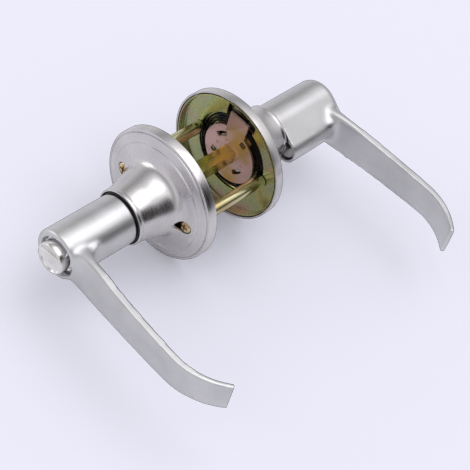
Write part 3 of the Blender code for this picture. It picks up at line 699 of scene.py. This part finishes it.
def makeRotor(name, side):
    base = setSizes["doorHalf"]
    front, back = side * (base + rotorDisc["front"]), side * (base + rotorDisc["back"])
    low, high = min(front, back), max(front, back)
    under, over = low - 2 * mm, high + 2 * mm
    rotor = roundBar(name, (0, low, 0), (0, high, 0), rotorDisc["radius"], 128)
    half = rotorDisc["lugHalf"]
    weldOn(rotor, barBetween("rotorLug", (-half, low, 8 * mm), (half, high, rotorDisc["lugReach"])))
    half = rotorDisc["broachHalf"]
    cutAway(rotor, barBetween("spindleBroach", (-half, under, -half), (half, over, half)))
    for centerAngle, halfAngle, reach in rotorDisc["slots"]:
        cutAway(rotor, curvedPunch(centerAngle, halfAngle, reach * mm, under, over))
    for x, z, half, turn in rotorDisc["squares"]:
        punch = barBetween("squarePunch", (-half * mm, under, -half * mm), (half * mm, over, half * mm))
        punch.data.transform(Matrix.Translation((x * mm, 0, z * mm)) @ Matrix.Rotation(radians(turn), 4, "Y"))
        cutAway(rotor, punch)
    top = front - side * rotorDisc["stakeHeight"]
    for x, z, radius in rotorDisc["stakes"]:
        foot = (x * mm, (low + high) / 2, z * mm)
        weldOn(rotor, roundBar("stakeHead", foot, (x * mm, top, z * mm), radius * mm, 20))
    roundEdges(rotor, rotorDisc["edge"], 2, 50)
    return rotor


placePiece(makeRotor("insideRotorDisc", inside), "inside_handle", "inside_rotor", zincPink)
placePiece(makeRotor("outsideRotorDisc", outside), "outside_handle", "outside_rotor", zincPink)
print("rotors made")

returnSpring = {
    "wire": 0.55 * mm,
    "pitch": 1.5 * mm,
    "turns": 2.6,
    "steps": 150,
    "sides": 12,
    "depth": 4.9 * mm,
    "startTurn": -pi / 2 + 0.12,
    "insideReach": 15.7 * mm,
    "outsideReach": 20.0 * mm,
}


def makeSpring(name, side, outerRadius):
    depth = side * (setSizes["doorHalf"] + returnSpring["depth"])
    sides = returnSpring["sides"]
    bpy.ops.mesh.primitive_circle_add(vertices=sides, radius=returnSpring["wire"],
                                      location=(outerRadius, depth, 0))
    spring = settle(name)
    bpy.ops.object.mode_set(mode="EDIT")
    bpy.ops.mesh.select_all(action="SELECT")
    bpy.ops.mesh.spin(steps=returnSpring["steps"], angle=2 * pi * returnSpring["turns"],
                      center=(0, depth, 0), axis=(0, 1, 0))
    bpy.ops.object.mode_set(mode="OBJECT")
    count = len(spring.data.vertices)
    for vert in spring.data.vertices:  # each turn lies inside the last
        share = min(1.0, vert.index / (count - sides))
        reach = hypot(vert.co.x, vert.co.z)
        closer = (reach - returnSpring["pitch"] * returnSpring["turns"] * share) / reach
        vert.co.x *= closer
        vert.co.z *= closer
    spring.data.transform(Matrix.Rotation(returnSpring["startTurn"], 4, "Y"))
    pick(spring)
    bpy.ops.object.mode_set(mode="EDIT")
    bpy.ops.mesh.select_all(action="SELECT")
    bpy.ops.mesh.fill_holes(sides=0)
    bpy.ops.mesh.normals_make_consistent(inside=False)
    bpy.ops.object.mode_set(mode="OBJECT")
    foot, end = (2.2 * mm, depth, outerRadius - 0.5 * mm), (3.4 * mm, depth, outerRadius + 5 * mm)
    weldOn(spring, roundBar("springLeg", foot, end, returnSpring["wire"], 16))
    return spring


insideSpring = makeSpring("insideCoil", inside, returnSpring["insideReach"])
placePiece(insideSpring, "roses", "inside_return_spring", springSteel, 50)
outsideSpring = makeSpring("outsideCoil", outside, returnSpring["outsideReach"])
placePiece(outsideSpring, "roses", "outside_return_spring", springSteel, 50)
print("springs made")

threadedPost = {
    "line": [(2.2, 18.0), (2.2, -22.85), (2.4, -23.1), (2.75, -23.1), (3.0, -22.8), (3.0, 23.1)],
    "crossHoleAt": 19.6 * mm,
    "crossHoleRadius": 0.9 * mm,
}


def makePost(name, x):
    line = [(radius * mm, depth * mm) for radius, depth in threadedPost["line"]]
    post = turnRing(name, line, outside, 64, capStart=True, capEnd=True)
    post.data.transform(Matrix.Translation((x, 0, 0)))
    y = threadedPost["crossHoleAt"]
    cutAway(post, roundBar("crossDrill", (x, y, 0), (x, y, 8 * mm), threadedPost["crossHoleRadius"], 24))
    return post


for name, sign in (("left", -1), ("right", 1)):
    post = makePost("threadedPost" + name.title(), sign * setSizes["postOffset"])
    placePiece(post, "roses", "post_" + name, zincPost)


mountingScrew = {
    "line": [(1.14, 3.3), (1.9, 4.3), (1.9, 24.3), (3.3, 24.3), (3.3, 26.1), (3.2, 26.6), (2.9, 27.0),
             (2.4, 27.28), (1.5, 27.4)],
    "cross": [(2.0, 0.45, 1.3), (0.45, 2.0, 1.25)],
}


def makeScrew(name, x):
    line = [(radius * mm, depth * mm) for radius, depth in mountingScrew["line"]]
    head = line[-1][1]
    screw = turnRing(name, line, inside, 64, capStart=True, capEnd=True)
    screw.data.transform(Matrix.Translation((x, 0, 0)))
    for halfX, halfZ, deep in mountingScrew["cross"]:
        low = (x - halfX * mm, -(head + 1 * mm), -halfZ * mm)
        high = (x + halfX * mm, -(head - deep * mm), halfZ * mm)
        cutAway(screw, barBetween("crossPunch", low, high))
    return screw


for name, sign in (("left", -1), ("right", 1)):
    screw = makeScrew("mountingScrew" + name.title(), sign * setSizes["postOffset"])
    placePiece(screw, "roses", "mounting_screw_" + name, zincScrew)

driveSpindle = {
    "half": 3.5 * mm,
    "halfLength": 29.5 * mm,
    "edge": 0.35 * mm,
    "rodHole": 2.0 * mm,
}


def makeSpindle():
    half, reach, edge = driveSpindle["half"], driveSpindle["halfLength"], driveSpindle["edge"]
    spindle = barBetween("squareSpindle", (-half, -reach, -half), (half, reach, half), edge, 3)
    past = reach + 10.5 * mm
    cutAway(spindle, roundBar("spindleDrill", (0, -past, 0), (0, past, 0), driveSpindle["rodHole"], 32))
    return spindle


placePiece(makeSpindle(), "drive_spindle", "spindle", zincGold)
print("posts, screws and spindle made")


nylonBush = {
    "past": 0.1 * mm,
    "line": [(10.35, -9.0), (12.85, -9.0), (12.85, -7.8), (12.6, -7.2), (12.6, -0.3), (12.3, 0.0),
             (10.6, 0.0), (10.35, -0.2)],
}


def makeBush(name, side):
    end = setSizes["doorHalf"] + setSizes["collarHeight"] + nylonBush["past"]
    line = [(radius * mm, end + height * mm) for radius, height in nylonBush["line"]]
    return turnRing(name, line, side, 96, closed=True)


placePiece(makeBush("insideNylonBush", inside), "roses", "inside_bush", nylon)
placePiece(makeBush("outsideNylonBush", outside), "roses", "outside_bush", nylon)

hiddenNodes = {
    "inside_sleeve": brightSteel, "outside_sleeve": brightSteel, "inside_circlip": brightSteel,
    "outside_circlip": brightSteel, "inside_grub_screw": brightSteel, "button_washer": brightSteel,
    "button_clip": brightSteel, "privacy_rod": catchSteel,
}
for node, finish in hiddenNodes.items():
    useFinish(nodeObjects[node], finish)
print("inner pieces finished")

tableUp = Vector((-0.22, 0.0, 0.9755)).normalized()
tableTop = {
    "size": 12,
    "below": 33.6 * mm,
    "color": (0.86, 0.86, 0.90),
    "roughness": 0.65,
}
cameraView = {
    "place": Vector((0.2673, -0.3989, 0.5085)),
    "right": Vector((0.687, 0.693, 0.2185)),
    "up": Vector((-0.643, 0.440, 0.6265)),
    "lens": 114.9,
}
back = cameraView["right"].cross(cameraView["up"]).normalized()
up = back.cross(cameraView["right"]).normalized()
right = up.cross(back).normalized()
bpy.ops.object.camera_add(location=cameraView["place"])
camera = bpy.context.object
camera.name = "benchCamera"
camera.rotation_euler = Matrix((right, up, back)).transposed().to_euler()
camera.data.lens = cameraView["lens"]
camera.data.sensor_width = 36.0
camera.data.clip_start = 0.01
bpy.context.scene.camera = camera

clearSelection()
bpy.ops.mesh.primitive_plane_add(size=tableTop["size"], location=tableUp * -tableTop["below"])
floor = bpy.context.object
floor.name = "paleTable"
floor.rotation_euler = tableUp.to_track_quat("Z", "Y").to_euler()
floor.data.transform(floor.matrix_world)
floor.matrix_world = Matrix.Identity(4)
floor.is_shadow_catcher = True
useFinish(floor, newFinish("paleTop", tableTop["color"], tableTop["roughness"], 0.0))

ahead = (-back - tableUp * (-back).dot(tableUp)).normalized()
across = ahead.cross(tableUp).normalized()
middle = Vector((0.03, 0, 0))


def addSoftbox(name, place, size, power):
    bpy.ops.object.light_add(type="AREA", location=place)
    lamp = bpy.context.object
    lamp.name = name
    lamp.data.shape = "RECTANGLE"
    lamp.data.size, lamp.data.size_y = size
    lamp.data.energy = power
    lamp.rotation_euler = (place - middle).to_track_quat("Z", "Y").to_euler()


addSoftbox("topSoftbox", middle + Vector((0.14, 0.20, 0.92)), (0.85, 0.85), 1.9)
addSoftbox("leftSoftbox", middle + tableUp * 0.5 - across * 0.9 + ahead * 0.1, (0.6, 0.4), 0.8)

roomLight = {
    "backdrop": (0.855, 0.855, 0.975, 1),
    "soft": (0.98, 0.98, 1.0, 1),
    "softStrength": 0.66,
    "ceilingAxis": Vector((0.25, 0.25, 0.935)),
    "ceiling": [(0.0, 0.70), (0.2, 0.56), (0.43, 0.34), (0.62, 0.52), (0.73, 0.76), (0.82, 0.92),
                (1.0, 0.92)],
    "doorwayAxis": Vector((0.90, 0.25, 0.36)),
    "doorway": [(0.0, 1.0), (0.84, 1.0), (0.90, 0.50), (0.94, 0.06), (1.0, 0.02)],
}

world = bpy.data.worlds.new("paleRoom")
bpy.context.scene.world = world
world.use_nodes = True
sky = world.node_tree
backdrop = sky.nodes["Background"]
backdrop.inputs["Color"].default_value = roomLight["backdrop"]
direction = sky.nodes.new("ShaderNodeTexCoord")
seen = sky.nodes.new("ShaderNodeLightPath")


def roomShade(axis, stops):  # one sweep of the room from dark to light along a direction
    turned = sky.nodes.new("ShaderNodeVectorMath")
    turned.operation = "DOT_PRODUCT"
    turned.inputs[1].default_value = axis
    sky.links.new(direction.outputs["Generated"], turned.inputs[0])
    span = sky.nodes.new("ShaderNodeMapRange")
    sky.links.new(turned.outputs["Value"], span.inputs["Value"])
    ramp = sky.nodes.new("ShaderNodeValToRGB")
    sky.links.new(span.outputs[0], ramp.inputs["Fac"])
    elements = ramp.color_ramp.elements
    elements[0].position, elements[1].position = stops[0][0], stops[-1][0]
    elements[0].color = (stops[0][1],) * 3 + (1,)
    elements[1].color = (stops[-1][1],) * 3 + (1,)
    for position, level in stops[1:-1]:
        elements.new(position).color = (level, level, level, 1)
    return ramp.outputs["Color"]


ceilingShade = roomShade(roomLight["ceilingAxis"], roomLight["ceiling"])
doorwayShade = roomShade(roomLight["doorwayAxis"], roomLight["doorway"])
mixed = sky.nodes.new("ShaderNodeMix")
mixed.data_type, mixed.blend_type = "RGBA", "MULTIPLY"
mixed.inputs["Factor"].default_value = 1.0
sky.links.new(ceilingShade, mixed.inputs[6])
sky.links.new(doorwayShade, mixed.inputs[7])
room = sky.nodes.new("ShaderNodeBackground")
room.inputs["Strength"].default_value = 1.0
sky.links.new(mixed.outputs[2], room.inputs["Color"])
soft = sky.nodes.new("ShaderNodeBackground")
soft.inputs["Color"].default_value = roomLight["soft"]
soft.inputs["Strength"].default_value = roomLight["softStrength"]
diffuseBlend = sky.nodes.new("ShaderNodeMixShader")
sky.links.new(seen.outputs["Is Diffuse Ray"], diffuseBlend.inputs["Fac"])
sky.links.new(room.outputs[0], diffuseBlend.inputs[1])
sky.links.new(soft.outputs[0], diffuseBlend.inputs[2])
blend = sky.nodes.new("ShaderNodeMixShader")
sky.links.new(seen.outputs["Is Camera Ray"], blend.inputs["Fac"])
sky.links.new(diffuseBlend.outputs[0], blend.inputs[1])
sky.links.new(backdrop.outputs[0], blend.inputs[2])
sky.links.new(blend.outputs[0], sky.nodes["World Output"].inputs["Surface"])
bpy.context.scene.view_settings.view_transform = "Standard"
print("camera, floor and light set")
